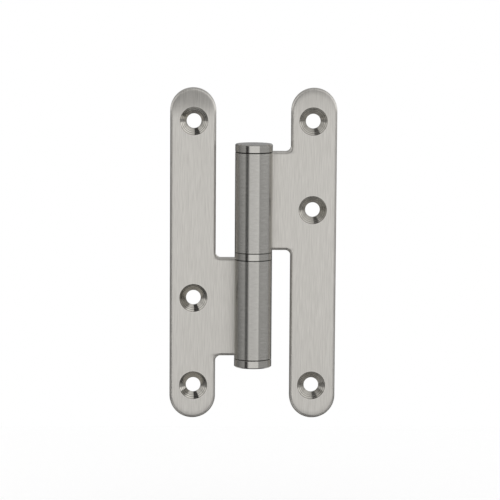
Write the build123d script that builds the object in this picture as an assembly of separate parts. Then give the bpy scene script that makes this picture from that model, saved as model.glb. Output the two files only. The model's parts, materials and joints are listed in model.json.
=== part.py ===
from build123d import *

import os
from math import asin, cos, degrees, radians

# Lift-off hinge for a door or a shutter, of the paumelle kind, in stainless steel. Millimetres.
# It lies open flat. The pin stands on Z, and the origin is on its axis, half-way up the spacer ring.
# The countersunk front faces look along -Y. The back faces share one plane, which touches the knuckles.
# Both leaves are the same stamped blank. The one with the lower knuckle is turned half a turn in its plane.

# Leaf blank
leaf_height = 140.0
hinge_width = 70.0
strip_width = 19.3
sheet = 3.0
inner_corner = 2.2
front_rounding = 1.2

# Screw holes
end_hole_margin = 14.0
middle_hole_height = 18.7
hole_set_in = 0.35
hole_radius = 3.1
countersink_radius = 5.9
countersink_angle = 100.0

# Rolled knuckle
knuckle_radius = 7.9
knuckle_length = 41.8
seam_gap = 0.15

# Pin
running_clearance = 0.05
pin_reach = 33.0
pin_nose = 2.5
pin_lead = 0.6
pin_end_gap = 1.0

# Spacer ring and end caps
ring_height = 3.2
cap_height = 3.6
cap_spigot = 5.0
spigot_lead = 0.5
cap_edge_break = 0.4
ring_edge_break = 0.25

# Worked out from the sizes above
bore_radius = knuckle_radius - sheet
pin_radius = bore_radius - running_clearance
ring_bore = pin_radius + running_clearance
knuckle_start = ring_height / 2
knuckle_end = knuckle_start + knuckle_length
strip_middle = hinge_width / 2 - strip_width / 2
strip_inside = hinge_width / 2 - strip_width
hole_line = strip_middle - hole_set_in
end_hole_height = leaf_height / 2 - end_hole_margin
seam_angle = degrees(asin((bore_radius - seam_gap) / knuckle_radius))
seam_reach = knuckle_radius * cos(radians(seam_angle))
half_turn = Rot(0, 180, 0)

TOUCH = 0.001


def flat_leaf():
    """Round-ended strip and the arm that leads to the knuckle, with a rounded front rim and three screw holes."""
    with BuildPart() as leaf:
        with BuildSketch(Plane.XZ.offset(-knuckle_radius)) as blank:
            with Locations((strip_middle, 0)):
                SlotOverall(leaf_height, strip_width, rotation=90)
            with Locations((seam_reach, knuckle_start)):
                Rectangle(strip_middle - seam_reach, knuckle_length, align=Align.MIN)
            corners = blank.vertices().filter_by_position(Axis.X, strip_inside - TOUCH, strip_inside + TOUCH)
            corners = corners.filter_by_position(Axis.Y, knuckle_start - TOUCH, knuckle_end + TOUCH)
            fillet(corners, inner_corner)
        extrude(amount=sheet)
        front = leaf.faces().sort_by(Axis.Y)[0]
        rim = [edge for edge in front.edges() if edge.center().X > seam_reach + TOUCH]
        fillet(rim, front_rounding)
        hole_heights = (end_hole_height, middle_hole_height, -end_hole_height)
        with Locations(Plane.XZ.offset(-bore_radius)):
            with Locations(*[(hole_line, height) for height in hole_heights]):
                CounterSinkHole(hole_radius, countersink_radius, counter_sink_angle=countersink_angle)
    return leaf.part


def rolled_knuckle():
    """The end of the arm, rolled forward round the pin until its edge almost meets the leaf again."""
    with BuildPart() as knuckle:
        with BuildSketch(Plane.XY.offset(knuckle_start)):
            with BuildLine():
                outside = CenterArc((0, 0), knuckle_radius, 90, 270 + seam_angle)
                inside = CenterArc((0, 0), bore_radius, 90, 270 + seam_angle)
                Line(outside @ 1, inside @ 1)
                Polyline(inside @ 0, (seam_reach, bore_radius), (seam_reach, knuckle_radius), outside @ 0)
            make_face()
        extrude(amount=knuckle_length)
    return knuckle.part


def leaf_with_knuckle():
    """One whole leaf, as on the right: the knuckle is above the spacer ring."""
    return flat_leaf() + rolled_knuckle()


def turned_piece(half_section):
    """A piece made on the lathe, from its half section in the plane of X and Z."""
    with BuildPart() as piece:
        with BuildSketch(Plane.XZ):
            add(half_section)
        revolve(axis=Axis.Z)
    return piece.part


def hinge_pin():
    """Gripped by the lower knuckle, a running fit in the ring and the upper knuckle, with a rounded nose."""
    foot = cap_spigot + pin_end_gap - knuckle_end
    shoulder = -knuckle_start - pin_lead
    top = knuckle_start + pin_reach
    with BuildSketch() as section:
        with BuildLine():
            Polyline(
                (0, foot),
                (bore_radius - pin_lead, foot),
                (bore_radius, foot + pin_lead),
                (bore_radius, shoulder),
                (pin_radius, shoulder),
                (pin_radius, top),
                (0, top),
                close=True,
            )
        make_face()
        tip = section.vertices().group_by(Axis.Y)[-1].sort_by(Axis.X)[-1]
        fillet(tip, pin_nose)
    return turned_piece(section.sketch)


def spacer_ring():
    """Ring between the knuckles, as wide as they are, with its outer edges broken."""
    with BuildSketch() as section:
        with Locations((ring_bore, 0)):
            Rectangle(knuckle_radius - ring_bore, ring_height, align=(Align.MIN, Align.CENTER))
        chamfer(section.vertices().group_by(Axis.X)[-1], ring_edge_break)
    return turned_piece(section.sketch)


def end_cap():
    """Plug for the top of the upper knuckle: a flange as wide as the knuckle, on a spigot that fills its bore."""
    with BuildSketch(Plane.XY) as section:
        with Locations((0, knuckle_end)):
            Rectangle(knuckle_radius, cap_height, align=Align.MIN)
        chamfer(section.vertices().group_by(Axis.X)[-1], cap_edge_break)
        with BuildLine():
            Polyline(
                (0, knuckle_end),
                (0, knuckle_end - cap_spigot),
                (bore_radius - spigot_lead, knuckle_end - cap_spigot),
                (bore_radius, knuckle_end - cap_spigot + spigot_lead),
                (bore_radius, knuckle_end),
                close=True,
            )
        make_face()
    return turned_piece(section.sketch)


def hinge():
    """Every piece in its place, by name."""
    leaf = leaf_with_knuckle()
    cap = end_cap()
    return {
        "frame_leaf": half_turn * leaf,
        "door_leaf": leaf,
        "hinge_pin": hinge_pin(),
        "spacer_ring": spacer_ring(),
        "upper_cap": cap,
        "lower_cap": half_turn * cap,
    }


os.makedirs("parts", exist_ok=True)
for name, piece in hinge().items():
    export_step(piece, f"parts/{name}.step")
    print(name, round(piece.volume), "mm3")
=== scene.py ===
import json
from math import cos, radians, sin

import bpy
from mathutils import Matrix, Vector


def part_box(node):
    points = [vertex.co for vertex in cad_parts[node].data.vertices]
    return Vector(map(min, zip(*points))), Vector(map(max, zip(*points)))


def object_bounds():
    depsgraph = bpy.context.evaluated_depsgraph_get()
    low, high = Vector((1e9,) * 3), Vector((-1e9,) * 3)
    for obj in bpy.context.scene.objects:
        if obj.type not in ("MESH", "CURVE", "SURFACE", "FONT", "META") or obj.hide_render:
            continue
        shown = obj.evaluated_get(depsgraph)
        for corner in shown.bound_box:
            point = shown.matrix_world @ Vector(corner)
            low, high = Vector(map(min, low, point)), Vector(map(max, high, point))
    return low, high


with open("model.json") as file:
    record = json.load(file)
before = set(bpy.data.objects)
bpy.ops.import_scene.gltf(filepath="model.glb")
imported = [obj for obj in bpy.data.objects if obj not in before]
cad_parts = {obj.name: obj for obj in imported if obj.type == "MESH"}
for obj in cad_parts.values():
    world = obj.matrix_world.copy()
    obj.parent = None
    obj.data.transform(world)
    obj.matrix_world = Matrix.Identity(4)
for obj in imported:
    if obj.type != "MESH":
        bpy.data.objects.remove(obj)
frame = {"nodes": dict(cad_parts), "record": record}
cad_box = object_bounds()

# The two leaves, each with its rolled knuckle. The real ones are stamped from 3 mm stainless sheet, rolled
# round the pin, belt-brushed lengthwise on the flats and turned on the knuckle. The screw holes are
# countersunk last, so that their cones are bright and finely ringed.
MM = 0.001
leaf_far_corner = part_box("door_leaf")[1]
leaf_end, leaf_side, leaf_back = leaf_far_corner.z, leaf_far_corner.x, leaf_far_corner.y
knuckle_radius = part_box("spacer_ring")[1].x
knuckle_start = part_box("spacer_ring")[1].z
cap_height = 3.6 * MM
knuckle_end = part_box("upper_cap")[1].z - cap_height
countersink_radius = 5.9 * MM
strip_half = 19.3 * MM / 2
strip_middle = leaf_side - strip_half

# a noise pattern's values mostly lie between these
noise_low, noise_high = 0.25, 0.75
black = (0, 0, 0, 1)


def linear(hex_colour):
    """Linear red, green and blue, with alpha, of an sRGB colour written as RRGGBB."""
    parts = [int(hex_colour[i:i + 2], 16) / 255 for i in (0, 2, 4)]
    return [c / 12.92 if c <= 0.04045 else ((c + 0.055) / 1.055) ** 2.4 for c in parts] + [1]


def feed(tree, node, inputs):
    """Fills a node's inputs, by name or number: a value, a socket to follow, or a node for its result."""
    for key, value in inputs.items():
        if isinstance(key, int):
            socket = node.inputs[key]
        else:
            socket = next(s for s in node.inputs if s.enabled and s.name == key)
        if isinstance(value, bpy.types.Node):
            value = next(s for s in value.outputs if s.enabled)
        if isinstance(value, bpy.types.NodeSocket):
            tree.links.new(value, socket)
        else:
            socket.default_value = value


def add_node(tree, kind, inputs=None, **settings):
    """A new shader node with its settings and inputs."""
    node = tree.nodes.new("ShaderNode" + kind)
    for setting, value in settings.items():
        setattr(node, setting, value)
    feed(tree, node, inputs or {})
    return node


def seam_shade(tree, height, width, shade):
    """From shade at the seams beside the ring and the caps, where light is lost, to 1 at width from them."""
    up = add_node(tree, "Math", {0: height}, operation="ABSOLUTE")
    from_ring = add_node(tree, "Math", {0: up, 1: knuckle_start}, operation="SUBTRACT")
    from_ring = add_node(tree, "Math", {0: from_ring}, operation="ABSOLUTE")
    from_cap = add_node(tree, "Math", {0: up, 1: knuckle_end}, operation="SUBTRACT")
    from_cap = add_node(tree, "Math", {0: from_cap}, operation="ABSOLUTE")
    from_seam = add_node(tree, "Math", {0: from_ring, 1: from_cap}, operation="MINIMUM")
    return add_node(tree, "MapRange", {
        "Value": from_seam, "From Max": width, "To Min": shade}, interpolation_type="SMOOTHSTEP")


def screw_holes(leaf):
    """Places of the leaf's screw holes in X and Z, from the bolt patterns among the mounts."""
    places = set()
    for mount in frame["record"]["mounts"]:
        if mount["kind"] == "bolt_pattern" and mount["name"].startswith(leaf):
            x, _, z = mount["pos_m"]
            half = mount["dims"]["spacing_y_mm"] * MM / 2
            places |= {(x, round(z - half, 5)), (x, round(z + half, 5))}
    return sorted(places)


def nearest_screw_hole(tree, on_front, leaf):
    """Distance from the axis of the nearest screw hole, and the way out from it."""
    nearest, outward = None, None
    for hole_x, hole_z in screw_holes(leaf):
        offset = add_node(tree, "VectorMath", {0: on_front, 1: (hole_x, 0, hole_z)}, operation="SUBTRACT")
        distance = add_node(tree, "VectorMath", {0: offset}, operation="LENGTH")
        way = add_node(tree, "VectorMath", {0: offset}, operation="NORMALIZE")
        if nearest is None:
            nearest, outward = distance, way
            continue
        closer = add_node(tree, "Math", {0: distance, 1: nearest}, operation="LESS_THAN")
        outward = add_node(tree, "Mix", {"Factor": closer, "A": outward, "B": way}, data_type="VECTOR")
        nearest = add_node(tree, "Math", {0: distance, 1: nearest}, operation="MINIMUM")
    return nearest, outward


def distance_inside(tree, on_front, axes, arm_side):
    """Distance inside the leaf's outline: a round-ended strip, joined to the arm that leads to the knuckle.

    In the strip it is the half width less the distance from the strip's middle line. In the arm, which ends
    at that line, it is the distance from the nearest edge or the end, times a steepness, because the belt
    wears those edges over a shorter way. A smooth maximum joins the two and rounds the inner corners.
    """
    arm_steepness = 2.5
    corner_blend = 5 * MM
    # the middle line stops where the round ends begin, so only the height beyond there counts
    folded = add_node(tree, "VectorMath", {0: on_front}, operation="ABSOLUTE")
    folded = add_node(tree, "VectorMath", {
        0: folded, 1: (strip_middle, 0, leaf_end - strip_half)}, operation="SUBTRACT")
    folded = add_node(tree, "VectorMath", {0: folded, 1: (-1, 0, 0)}, operation="MAXIMUM")
    from_middle_line = add_node(tree, "VectorMath", {0: folded}, operation="LENGTH")
    in_strip = add_node(tree, "Math", {0: strip_half, 1: from_middle_line}, operation="SUBTRACT")

    arm_middle = arm_side * (knuckle_start + knuckle_end) / 2
    from_arm = add_node(tree, "Math", {0: axes[2], 1: arm_middle}, operation="SUBTRACT")
    from_arm = add_node(tree, "Math", {0: from_arm}, operation="ABSOLUTE")
    arm_half = (knuckle_end - knuckle_start) / 2
    in_arm = add_node(tree, "Math", {0: arm_half, 1: from_arm}, operation="SUBTRACT")
    aside = add_node(tree, "Math", {0: axes[0]}, operation="ABSOLUTE")
    before_strip = add_node(tree, "Math", {0: strip_middle, 1: aside}, operation="SUBTRACT")
    in_arm = add_node(tree, "Math", {0: in_arm, 1: before_strip}, operation="MINIMUM")
    in_arm = add_node(tree, "Math", {0: in_arm, 1: arm_steepness}, operation="MULTIPLY")
    return add_node(tree, "Math", {0: in_strip, 1: in_arm, 2: corner_blend}, operation="SMOOTH_MAX")


def brushing(tree, place, from_hole, on_flat, on_cone):
    """Scratch pattern: upright on the flats, round the knuckle and round each cone.

    The scratches are drawn as coarse as they need to be to show, several times as wide as real ones.
    """
    scratch_width, into_sheet, scratch_length = 0.33 * MM, 4 * MM, 7 * MM
    hoop_length, hoop_width = 2.5 * MM, 0.35 * MM
    ring_width = 0.35 * MM
    upright_place = add_node(tree, "VectorMath", {
        0: place, 1: (1 / scratch_width, 1 / into_sheet, 1 / scratch_length)}, operation="MULTIPLY")
    upright = add_node(tree, "TexNoise", {"Vector": upright_place, "Scale": 1.0, "Detail": 2.0})
    hoop_place = add_node(tree, "VectorMath", {
        0: place, 1: (1 / hoop_length, 1 / hoop_length, 1 / hoop_width)}, operation="MULTIPLY")
    hoops = add_node(tree, "TexNoise", {"Vector": hoop_place, "Scale": 1.0, "Detail": 2.0})
    ring_place = add_node(tree, "Math", {0: from_hole, 1: ring_width}, operation="DIVIDE")
    rings = add_node(tree, "TexNoise", {
        "W": ring_place, "Scale": 1.0, "Detail": 1.0}, noise_dimensions="1D")
    grain = add_node(tree, "Mix", {"Factor": on_flat, "A": hoops, "B": upright}, data_type="FLOAT")
    return add_node(tree, "Mix", {"Factor": on_cone, "A": grain, "B": rings}, data_type="FLOAT")


def worn_face(tree, inside, height, end_fall):
    """Fall of the belt-worn face: as the square of the way into its rim, and again into its upper end."""
    rim_fall, rim_width = 0.13 * MM, 3 * MM
    end_width = 13 * MM
    into_rim = add_node(tree, "MapRange", {
        "Value": inside, "From Max": rim_width, "To Min": 1.0, "To Max": 0.0})
    rim_drop = add_node(tree, "Math", {0: into_rim, 1: 2.0}, operation="POWER")
    into_end = add_node(tree, "MapRange", {
        "Value": height, "From Min": leaf_end - end_width, "From Max": leaf_end})
    end_drop = add_node(tree, "Math", {0: into_end, 1: 2.0}, operation="POWER")
    fall = add_node(tree, "Math", {0: rim_drop, 1: -rim_fall}, operation="MULTIPLY")
    return add_node(tree, "Math", {0: end_drop, 1: -end_fall, 2: fall}, operation="MULTIPLY_ADD")


def brushed_leaf(leaf, arm_side, knuckle_roughness, cone_roughness, end_fall):
    """Belt-brushed stainless steel, turned on the knuckle and the cones.

    The belt's upright scratches smear reflections sideways, so that the flats look evenly pale. The lines
    round the knuckle and the cones smear them along the pin and down the cone, and leave them sharp across.
    """
    material = bpy.data.materials.new("belt_brushed_stainless_" + leaf)
    material.use_nodes = True
    tree = material.node_tree
    shader = tree.nodes["Principled BSDF"]
    shader.inputs["Metallic"].default_value = 1.0
    shader.inputs["Anisotropic"].default_value = 0.75
    place = add_node(tree, "TexCoord").outputs["Object"]
    on_plan = add_node(tree, "VectorMath", {0: place, 1: (1, 1, 0)}, operation="MULTIPLY")
    on_front = add_node(tree, "VectorMath", {0: place, 1: (1, 0, 1)}, operation="MULTIPLY")
    axes = add_node(tree, "SeparateXYZ", {0: place}).outputs

    # 0 on the knuckle and 1 on the flats, by the distance from the pin's axis
    knuckle_skin, flat_begins = knuckle_radius + 0.05 * MM, knuckle_radius + 0.25 * MM
    from_pin = add_node(tree, "VectorMath", {0: on_plan}, operation="LENGTH")
    on_flat = add_node(tree, "MapRange", {
        "Value": from_pin, "From Min": knuckle_skin, "From Max": flat_begins})

    # 1 on the cones and 0 elsewhere, also on the back round the holes
    cone_edge = 0.1 * MM
    from_hole, outward = nearest_screw_hole(tree, on_front, leaf)
    on_cone = add_node(tree, "MapRange", {
        "Value": from_hole, "From Min": countersink_radius, "From Max": countersink_radius + cone_edge,
        "To Min": 1.0, "To Max": 0.0})
    in_front = add_node(tree, "Math", {0: axes[1], 1: leaf_back - cone_edge}, operation="LESS_THAN")
    on_cone = add_node(tree, "Math", {0: on_cone, 1: in_front}, operation="MULTIPLY")

    # colours of scratch bottoms and tops, with shade painted darker beside the seams where light is lost
    seam_width, seam_darkest = 0.25 * MM, 0.3
    grain = brushing(tree, place, from_hole, on_flat, on_cone)
    contrast = add_node(tree, "MapRange", {"Value": grain, "From Min": noise_low, "From Max": noise_high})
    flat_colour = add_node(tree, "Mix", {
        "Factor": contrast, "A": linear("D2CFC9"), "B": linear("E8E5DF")}, data_type="RGBA")
    knuckle_colour = add_node(tree, "Mix", {
        "Factor": contrast, "A": linear("BDBBB6"), "B": linear("CCCAC5")}, data_type="RGBA")
    cone_colour = add_node(tree, "Mix", {
        "Factor": contrast, "A": linear("908D87"), "B": linear("D2CFC8")}, data_type="RGBA")
    # painted shade: the knuckle's colour goes towards black beside the ring and the caps
    seam = seam_shade(tree, axes[2], seam_width, seam_darkest)
    knuckle_colour = add_node(tree, "Mix", {
        "Factor": seam, "A": black, "B": knuckle_colour}, data_type="RGBA")
    colour = add_node(tree, "Mix", {
        "Factor": on_flat, "A": knuckle_colour, "B": flat_colour}, data_type="RGBA")
    colour = add_node(tree, "Mix", {"Factor": on_cone, "A": colour, "B": cone_colour}, data_type="RGBA")

    flat_roughness, uneven = 0.36, 0.025
    roughness = add_node(tree, "Mix", {
        "Factor": on_flat, "A": knuckle_roughness, "B": flat_roughness}, data_type="FLOAT")
    roughness = add_node(tree, "Mix", {
        "Factor": on_cone, "A": roughness, "B": cone_roughness}, data_type="FLOAT")
    unevenness = add_node(tree, "MapRange", {"Value": grain, "To Min": -uneven, "To Max": uneven})
    roughness = add_node(tree, "Math", {0: roughness, 1: unevenness}, operation="ADD")

    # reflections are smeared across the scratches: sideways, along the pin, and down each cone
    across = add_node(tree, "Mix", {"Factor": on_flat, "A": (0, 0, 1), "B": (1, 0, 0)}, data_type="VECTOR")
    down_cone = add_node(tree, "VectorMath", {0: outward, 1: (0, -1, 0)}, operation="ADD")
    across = add_node(tree, "Mix", {"Factor": on_cone, "A": across, "B": down_cone}, data_type="VECTOR")
    across = add_node(tree, "VectorTransform", {0: across}, vector_type="VECTOR", convert_from="OBJECT",
                      convert_to="WORLD")

    # the flats are worn down at their rims and ends, and scratched deeper than the knuckle
    knuckle_scratch, flat_scratch = 0.0005 * MM, 0.004 * MM
    inside = distance_inside(tree, on_front, axes, arm_side)
    height = worn_face(tree, inside, axes[2], end_fall)
    height = add_node(tree, "Math", {0: height, 1: on_flat}, operation="MULTIPLY")
    depth = add_node(tree, "Mix", {
        "Factor": on_flat, "A": knuckle_scratch, "B": flat_scratch}, data_type="FLOAT")
    height = add_node(tree, "Math", {0: grain, 1: depth, 2: height}, operation="MULTIPLY_ADD")
    relief = add_node(tree, "Bump", {"Height": height, "Strength": 1.0, "Distance": 1.0})
    feed(tree, shader, {"Base Color": colour, "Roughness": roughness, "Tangent": across, "Normal": relief})
    return material


# each leaf is brushed and countersunk by itself, so the two differ a little in polish and wear
frame_leaf_steel = brushed_leaf(
    "frame_leaf", arm_side=-1, knuckle_roughness=0.21, cone_roughness=0.12, end_fall=1.2 * MM)
door_leaf_steel = brushed_leaf(
    "door_leaf", arm_side=1, knuckle_roughness=0.20, cone_roughness=0.22, end_fall=0.32 * MM)
frame["nodes"]["frame_leaf"].material_slots[0].material = frame_leaf_steel
frame["nodes"]["door_leaf"].material_slots[0].material = door_leaf_steel

# The pin, hidden inside the knuckles until the hinge is lifted apart. It is ground steel, pressed into the
# lower knuckle, with hardly visible grinding lines round it.


def turned_metal(name, dark, bright, line_width, roughness, anisotropy):
    """Metal turned round Z, with fine lines round the piece and rings on its flat ends, and shade painted
    beside the seams.

    They smear reflections across themselves: upwards on the sides, and outwards on the ends.
    """
    seam_width, seam_darkest = 0.45 * MM, 0.1
    uneven = 0.04
    line_depth = 0.001 * MM
    lean = 0.3 * knuckle_radius
    material = bpy.data.materials.new(name)
    material.use_nodes = True
    tree = material.node_tree
    shader = tree.nodes["Principled BSDF"]
    shader.inputs["Metallic"].default_value = 1.0
    shader.inputs["Anisotropic"].default_value = anisotropy
    place = add_node(tree, "TexCoord").outputs["Object"]
    axes = add_node(tree, "SeparateXYZ", {0: place}).outputs
    on_plan = add_node(tree, "VectorMath", {0: place, 1: (1, 1, 0)}, operation="MULTIPLY")
    from_axis = add_node(tree, "VectorMath", {0: on_plan}, operation="LENGTH")
    along = add_node(tree, "Math", {0: axes[2], 1: from_axis}, operation="ADD")
    along = add_node(tree, "Math", {0: along, 1: line_width}, operation="DIVIDE")
    grain = add_node(tree, "TexNoise", {"W": along, "Scale": 1.0, "Detail": 2.0}, noise_dimensions="1D")
    contrast = add_node(tree, "MapRange", {"Value": grain, "From Min": noise_low, "From Max": noise_high})
    colour = add_node(tree, "Mix", {
        "Factor": contrast, "A": linear(dark), "B": linear(bright)}, data_type="RGBA")
    # painted shade: the colour goes towards black beside the seams, where light is lost
    seam = seam_shade(tree, axes[2], seam_width, seam_darkest)
    colour = add_node(tree, "Mix", {"Factor": seam, "A": black, "B": colour}, data_type="RGBA")
    rough = add_node(tree, "MapRange", {
        "Value": grain, "To Min": roughness - uneven, "To Max": roughness + uneven})
    across = add_node(tree, "CombineXYZ", {0: axes[0], 1: axes[1], 2: lean})
    across = add_node(tree, "VectorTransform", {0: across}, vector_type="VECTOR", convert_from="OBJECT",
                      convert_to="WORLD")
    relief = add_node(tree, "Bump", {"Height": grain, "Strength": 1.0, "Distance": line_depth})
    feed(tree, shader, {"Base Color": colour, "Roughness": rough, "Tangent": across, "Normal": relief})
    return material


pin_steel = turned_metal(
    "ground_steel_pin", "A5A5A3", "BDBDBA", line_width=0.2 * MM, roughness=0.18, anisotropy=0.5)
frame["nodes"]["hinge_pin"].material_slots[0].material = pin_steel

# The spacer ring between the knuckles and the two end caps, all turned from stainless bar and a little
# brighter than the rolled knuckles, with fine lathe lines round them.
turned_stainless = turned_metal(
    "turned_stainless", "BFBDB8", "CBC9C4", line_width=0.3 * MM, roughness=0.15, anisotropy=0.6)
for piece in ("spacer_ring", "upper_cap", "lower_cap"):
    frame["nodes"][piece].material_slots[0].material = turned_stainless

# Small white floor well under the hinge, which hangs free in the picture. It is plain paper that spreads all
# light evenly, so its edge is lost in the white, and the metal doesn't mirror it.
floor_drop = 60 * MM
floor_half = 300 * MM
white = (1, 1, 1, 1)
floor_level = cad_box[0].z - floor_drop
quarters = ((-1, -1), (1, -1), (1, 1), (-1, 1))
corners = [(x * floor_half, y * floor_half, floor_level) for x, y in quarters]
floor_mesh = bpy.data.meshes.new("floor")
floor_mesh.from_pydata(corners, [], [(0, 1, 2, 3)])
floor = bpy.data.objects.new("floor", floor_mesh)
floor.visible_glossy = False
bpy.context.scene.collection.objects.link(floor)
white_paper = bpy.data.materials.new("white_paper_floor")
white_paper.use_nodes = True
tree = white_paper.node_tree
paper = add_node(tree, "BsdfDiffuse", {"Color": white})
feed(tree, tree.nodes["Material Output"], {"Surface": paper})
floor_mesh.materials.append(white_paper)

# Studio: a white tent with darker parts. The eye and the paper see plain white. Only the metal mirrors the
# tent: upright panels round the hinge, a cornice over them, a grey ceiling with a bright strip, and a pale
# table that is dark under the hinge and dim at its edge, with a dark card lying in front.

# grey levels of the panels by compass direction, 0 being in front of the hinge and 90 on its right
panel_greys = (
    (-180, 0.8), (-165, 0.7), (-155, 0.03), (-125, 0.03), (-117, 0.13), (-55, 0.41), (-50, 0.03),
    (-36, 0.03), (-26, 1.0), (-14, 1.07), (12, 1.04), (20, 1.02), (31, 1.04), (36, 0.33), (41, 0.44),
    (98, 0.41), (110, 0.3), (130, 0.12), (152, 0.06), (165, 0.7), (180, 0.8),
)
# those of the cornice and the bright strip from left to right, with a dark bar across the strip's left half
cornice_greys = (
    (-1.0, 1.0), (-0.75, 0.5), (-0.5, 0.2), (-0.12, 0.2), (-0.06, 0.3), (0.08, 0.34), (0.45, 0.6),
    (0.8, 0.8), (1.0, 1.35),
)
strip_greys = (
    (-1.0, 1.0), (-0.49, 0.9), (-0.45, 0.08), (-0.07, 0.08), (-0.02, 0.8), (0.4, 1.1), (1.0, 1.35),
)
# and those of the table from front to back
table_greys = (
    (-1.0, 0.75), (-0.25, 0.75), (-0.18, 0.05), (0.48, 0.05), (0.6, 0.75), (1.0, 0.75),
)
ceiling_grey = (0.45, 0.45, 0.45, 1)
table_edge_grey = (0.17, 0.17, 0.17, 1)
card_grey = (0.04, 0.04, 0.04, 1)

world = bpy.data.worlds.new("studio")
bpy.context.scene.world = world
world.use_nodes = True
world.cycles.sampling_method = "NONE"
tree = world.node_tree
way = add_node(tree, "TexCoord").outputs["Generated"]
rightward, backward, upward = add_node(tree, "SeparateXYZ", {0: way}).outputs
aside = add_node(tree, "Math", {0: rightward}, operation="ABSOLUTE")
forward = add_node(tree, "Math", {0: backward, 1: -1.0}, operation="MULTIPLY")
compass = add_node(tree, "Math", {0: rightward, 1: forward}, operation="ARCTAN2")
compass = add_node(tree, "Math", {0: compass}, operation="DEGREES")

ramps = {}
for part, along, end, greys in (
    ("panels", compass, 180, panel_greys),
    ("cornice", rightward, 1, cornice_greys),
    ("strip", rightward, 1, strip_greys),
    ("table", backward, 1, table_greys),
):
    share = add_node(tree, "MapRange", {"Value": along, "From Min": -end, "From Max": end})
    ramp = add_node(tree, "ValToRGB", {"Fac": share})
    stops = ramp.color_ramp.elements
    while len(stops) < len(greys):
        stops.new(0.5)
    for stop, (direction, grey) in zip(stops, greys):
        stop.position = (direction + end) / (2 * end)
        stop.color = (grey, grey, grey, 1)
    ramps[part] = ramp

# how far a direction lies in each region: 0 up to the outer level on one axis, and 1 from the inner one on
regions = {}
for region, along, outer, inner in (
    ("above panels", upward, -0.05, 0.08),
    ("above cornice", upward, 0.4, 0.6),
    ("below panels", upward, -0.16, -0.38),
    ("table's upper edge", upward, -0.42, -0.36),
    ("before table's back", backward, 0.55, 0.35),
    ("card's width", aside, 0.42, 0.28),
    ("card's depth", backward, -0.32, -0.4),
):
    regions[region] = add_node(tree, "MapRange", {
        "Value": along, "From Min": outer, "From Max": inner}, interpolation_type="SMOOTHSTEP")
on_table_edge = add_node(tree, "Math", {
    0: regions["table's upper edge"], 1: regions["before table's back"]}, operation="MULTIPLY")
on_card = add_node(tree, "Math", {
    0: regions["card's width"], 1: regions["card's depth"]}, operation="MULTIPLY")
# the strip crosses the ceiling from left to right, in front of its middle
strip_place, strip_half_width, strip_reach = -0.33, 0.13, 0.19
from_strip = add_node(tree, "Math", {0: backward, 1: -strip_place}, operation="ADD")
from_strip = add_node(tree, "Math", {0: from_strip}, operation="ABSOLUTE")
in_strip = add_node(tree, "MapRange", {
    "Value": from_strip, "From Min": strip_reach, "From Max": strip_half_width})

ceiling = add_node(tree, "Mix", {
    "Factor": in_strip, "A": ceiling_grey, "B": ramps["strip"]}, data_type="RGBA")
overhead = add_node(tree, "Mix", {
    "Factor": regions["above cornice"], "A": ramps["cornice"], "B": ceiling}, data_type="RGBA")
tent = add_node(tree, "Mix", {
    "Factor": regions["above panels"], "A": ramps["panels"], "B": overhead}, data_type="RGBA")
table = add_node(tree, "Mix", {
    "Factor": on_table_edge, "A": ramps["table"], "B": table_edge_grey}, data_type="RGBA")
table = add_node(tree, "Mix", {"Factor": on_card, "A": table, "B": card_grey}, data_type="RGBA")
tent = add_node(tree, "Mix", {"Factor": regions["below panels"], "A": tent, "B": table}, data_type="RGBA")
rays = add_node(tree, "LightPath").outputs
plain = add_node(tree, "Math", {0: rays["Is Camera Ray"], 1: rays["Is Transmission Ray"]}, operation="ADD")
plain = add_node(tree, "Math", {0: plain, 1: rays["Is Diffuse Ray"]}, operation="ADD")
sky = add_node(tree, "Mix", {"Factor": plain, "A": tent, "B": white}, data_type="RGBA")
feed(tree, tree.nodes["Background"], {"Color": sky, "Strength": 1.0})

# Camera of the photograph: a long lens a little over a metre away, slightly above the hinge and to its left.
# It was fitted to the outline, the holes and the seams.
camera_place = (-32.7, -1099.5, 137.4)
camera_azimuth, camera_down, camera_roll = radians(1.63), radians(7.0), radians(0.37)
focal_pixels, picture_pixels = 2644.5, 500
level_ahead = Vector((sin(camera_azimuth), cos(camera_azimuth), 0))
ahead = cos(camera_down) * level_ahead - sin(camera_down) * Vector((0, 0, 1))
level_right = Vector((cos(camera_azimuth), -sin(camera_azimuth), 0))
level_up = level_right.cross(ahead)
right = cos(camera_roll) * level_right + sin(camera_roll) * level_up
up = right.cross(ahead)
camera_data = bpy.data.cameras.new("camera")
camera_data.sensor_width = 36
camera_data.lens = camera_data.sensor_width * focal_pixels / picture_pixels
camera = bpy.data.objects.new("camera", camera_data)
bpy.context.scene.collection.objects.link(camera)
turned = Matrix((right, up, -ahead)).transposed().to_4x4()
camera.matrix_world = Matrix.Translation(Vector(camera_place) * MM) @ turned
bpy.context.scene.camera = camera

bpy.context.scene.view_settings.view_transform = "Standard"
